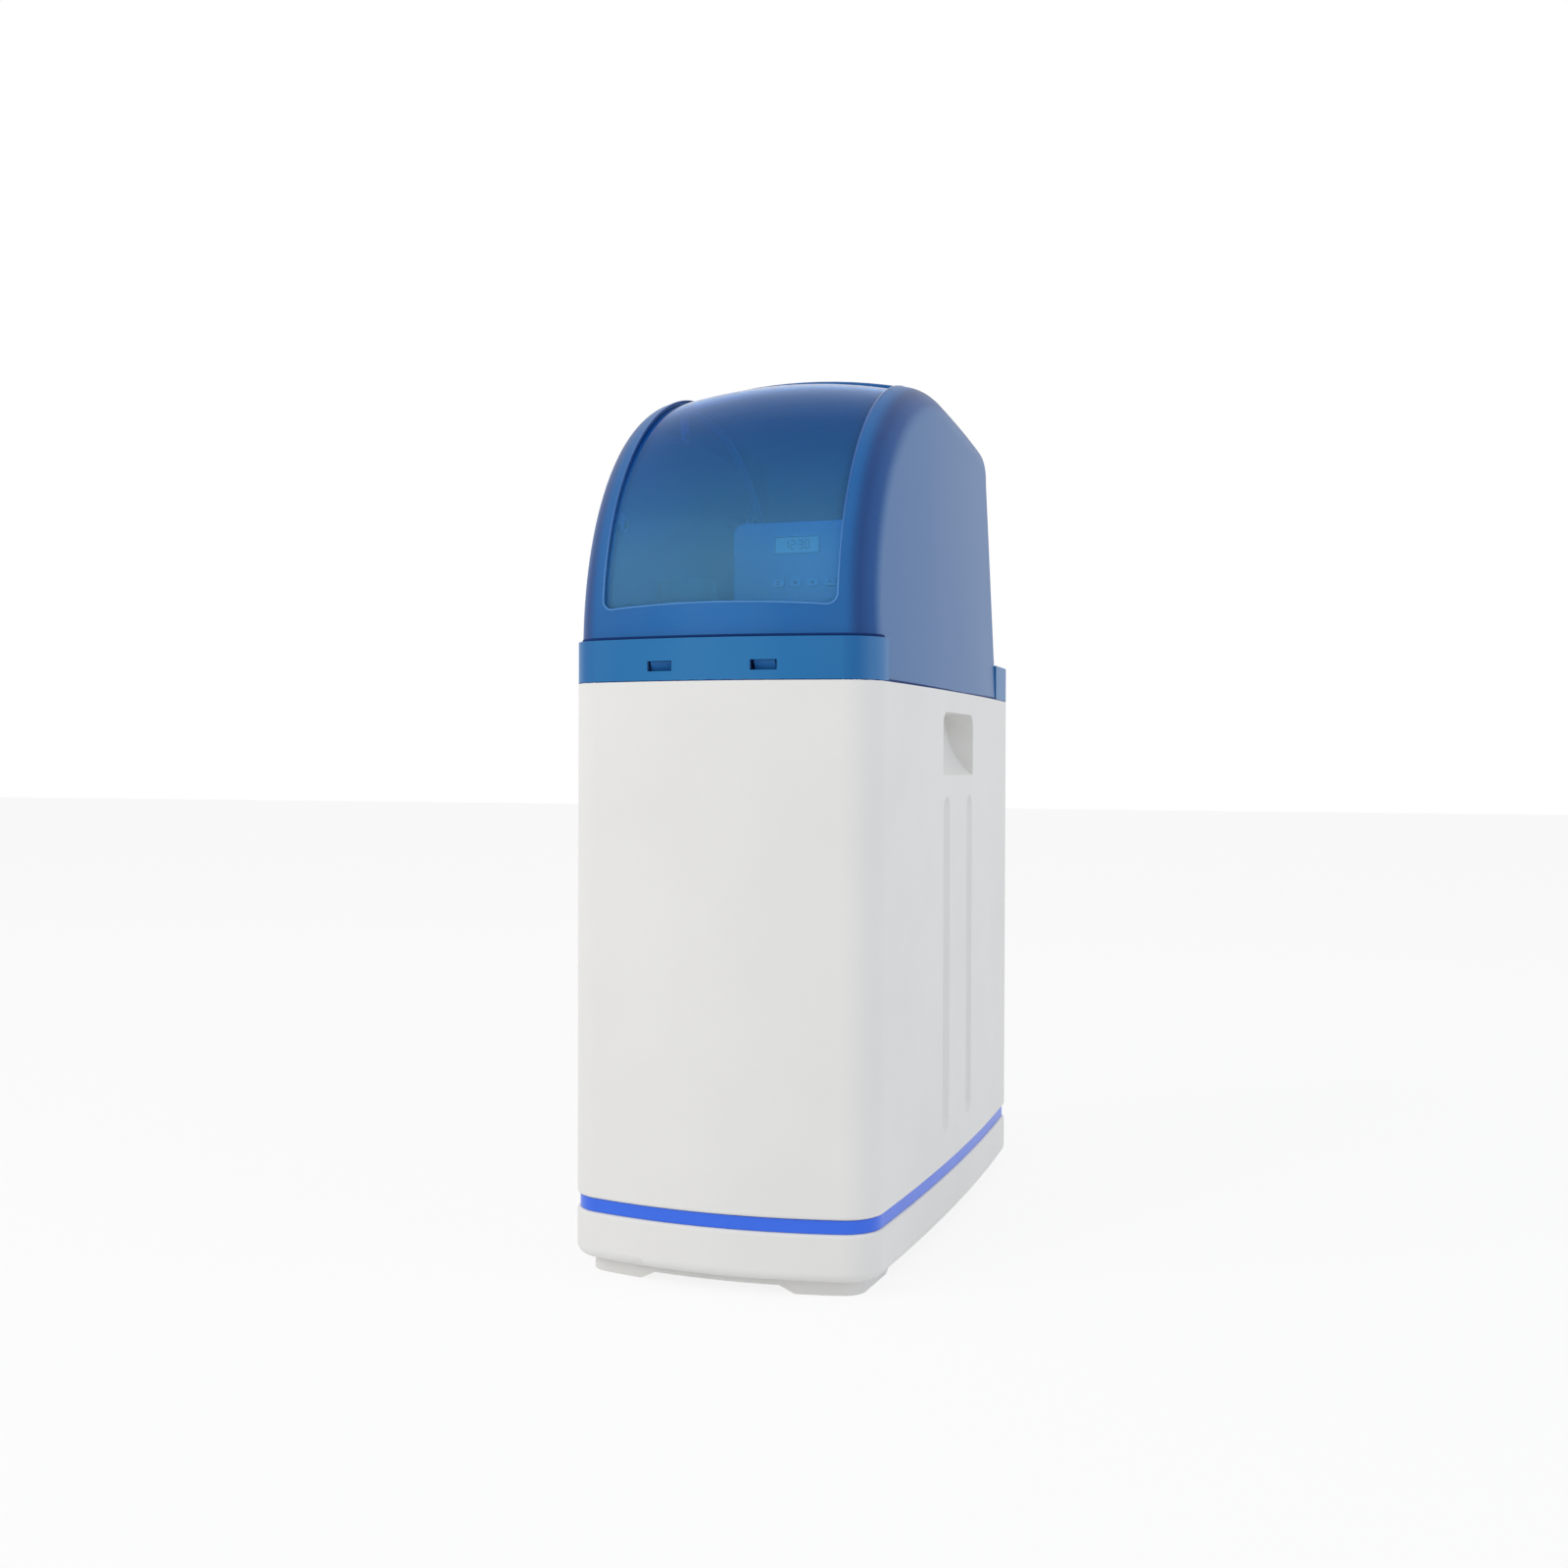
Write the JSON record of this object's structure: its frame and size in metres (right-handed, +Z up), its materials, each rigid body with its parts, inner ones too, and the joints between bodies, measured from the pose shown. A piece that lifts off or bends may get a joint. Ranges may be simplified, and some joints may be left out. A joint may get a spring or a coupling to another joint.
{
  "type": "water softener",
  "caption": "Slim cabinet water softener: white moulded cabinet, blue domed hood with a sliding window, resin tank, control valve and brine well inside.",
  "frame": {"origin": "centre of the cabinet's footprint, on the floor", "axes": "+X to the right seen from the front, +Y to the back, +Z up; the front looks along -Y"},
  "size_m": [0.26, 0.51, 0.719],
  "materials": {
    "cabinet_white": "satin moulded",
    "band_blue": "satin",
    "hood_blue": "translucent satin",
    "window_blue": "clear gloss",
    "black_plastic": "moulded",
    "grey_plastic": "moulded",
    "tank_wrap": "wound",
    "resin": "beads",
    "white_plastic": "moulded",
    "gear_nylon": "moulded",
    "ceramic": "ground",
    "steel": "satin",
    "motor_steel": "zinc plated",
    "display_glass": "clear",
    "board_green": "coated",
    "button_rubber": "soft",
    "handle_red": "moulded"
  },
  "bodies": {
    "cabinet": {"cabinet": "cabinet_white", "trim_band": "band_blue", "collar": "hood_blue", "hood": "hood_blue", "left_rail": "black_plastic", "right_rail": "black_plastic", "rail_screws": "steel", "resin_tank": "tank_wrap", "tank_boot": "black_plastic", "resin_bed": "resin", "riser_tube": "white_plastic", "lower_strainer": "white_plastic", "upper_strainer": "white_plastic", "valve_body": "black_plastic", "fixed_disc": "ceramic", "gear_plate": "black_plastic", "plate_screws": "steel", "drive_motor": "motor_steel", "valve_cover": "grey_plastic", "power_socket": "black_plastic", "control_panel": "grey_plastic", "display_lens": "display_glass", "circuit_board": "board_green", "bypass_body": "black_plastic", "port_clips": "white_plastic", "meter_ring": "white_plastic", "drain_elbow": "white_plastic", "overflow_elbow": "white_plastic", "overflow_nut": "white_plastic", "brine_well": "white_plastic", "brine_pipe": "white_plastic", "brine_tube": "white_plastic", "salt_grid": "white_plastic"},
    "window": {"window_panel": "window_blue"},
    "menu_key": {"menu_button": "button_rubber"},
    "confirm_key": {"confirm_button": "button_rubber"},
    "down_key": {"down_button": "button_rubber"},
    "up_key": {"up_button": "button_rubber"},
    "disc_drive": {"moving_disc": "ceramic", "disc_shaft": "gear_nylon", "driven_gear": "gear_nylon"},
    "pinion": {"pinion_gear": "gear_nylon"},
    "turbine": {"meter_turbine": "white_plastic"},
    "inlet_tap": {"inlet_handle": "handle_red"},
    "outlet_tap": {"outlet_handle": "handle_red"},
    "float": {"brine_float": "white_plastic"},
    "cap": {"well_cap": "black_plastic"}
  },
  "joints": [
    {"name": "window_slide_back", "type": "hinge", "parent": "cabinet", "child": "window", "pos_m": [0, -0.0275, 0.497], "axis": [-1, 0, 0], "range_deg": [0, 55]},
    {"name": "menu_press", "type": "slide", "parent": "cabinet", "child": "menu_key", "axis": [0, 1, 0], "range_m": [0, 0.001], "stiffness_N_per_m": 400},
    {"name": "confirm_press", "type": "slide", "parent": "cabinet", "child": "confirm_key", "axis": [0, 1, 0], "range_m": [0, 0.001], "stiffness_N_per_m": 400},
    {"name": "down_press", "type": "slide", "parent": "cabinet", "child": "down_key", "axis": [0, 1, 0], "range_m": [0, 0.001], "stiffness_N_per_m": 400},
    {"name": "up_press", "type": "slide", "parent": "cabinet", "child": "up_key", "axis": [0, 1, 0], "range_m": [0, 0.001], "stiffness_N_per_m": 400},
    {"name": "disc_turn", "type": "hinge", "parent": "cabinet", "child": "disc_drive", "pos_m": [0, 0.075, 0.54], "axis": [0, 0, 1], "continuous": true},
    {"name": "pinion_turn", "type": "hinge", "parent": "cabinet", "child": "pinion", "pos_m": [0, 0.012, 0.56], "axis": [0, 0, 1], "continuous": true},
    {"name": "turbine_spin", "type": "hinge", "parent": "cabinet", "child": "turbine", "pos_m": [0.036, 0.134, 0.512], "axis": [0, 1, 0], "continuous": true},
    {"name": "inlet_tap_turn", "type": "hinge", "parent": "cabinet", "child": "inlet_tap", "pos_m": [-0.036, 0.213, 0.54], "axis": [0, 0, 1], "range_deg": [0, 90]},
    {"name": "outlet_tap_turn", "type": "hinge", "parent": "cabinet", "child": "outlet_tap", "pos_m": [0.036, 0.213, 0.54], "axis": [0, 0, 1], "range_deg": [-90, 0]},
    {"name": "float_rise", "type": "slide", "parent": "cabinet", "child": "float", "axis": [0, 0, 1], "range_m": [0, 0.12]},
    {"name": "cap_lift", "type": "slide", "parent": "cabinet", "child": "cap", "axis": [0, 0, 1], "range_m": [0, 0.06]}
  ],
  "couplings": [
    {"joint": "pinion_turn", "follows": "disc_turn", "ratio": -6}
  ]
}
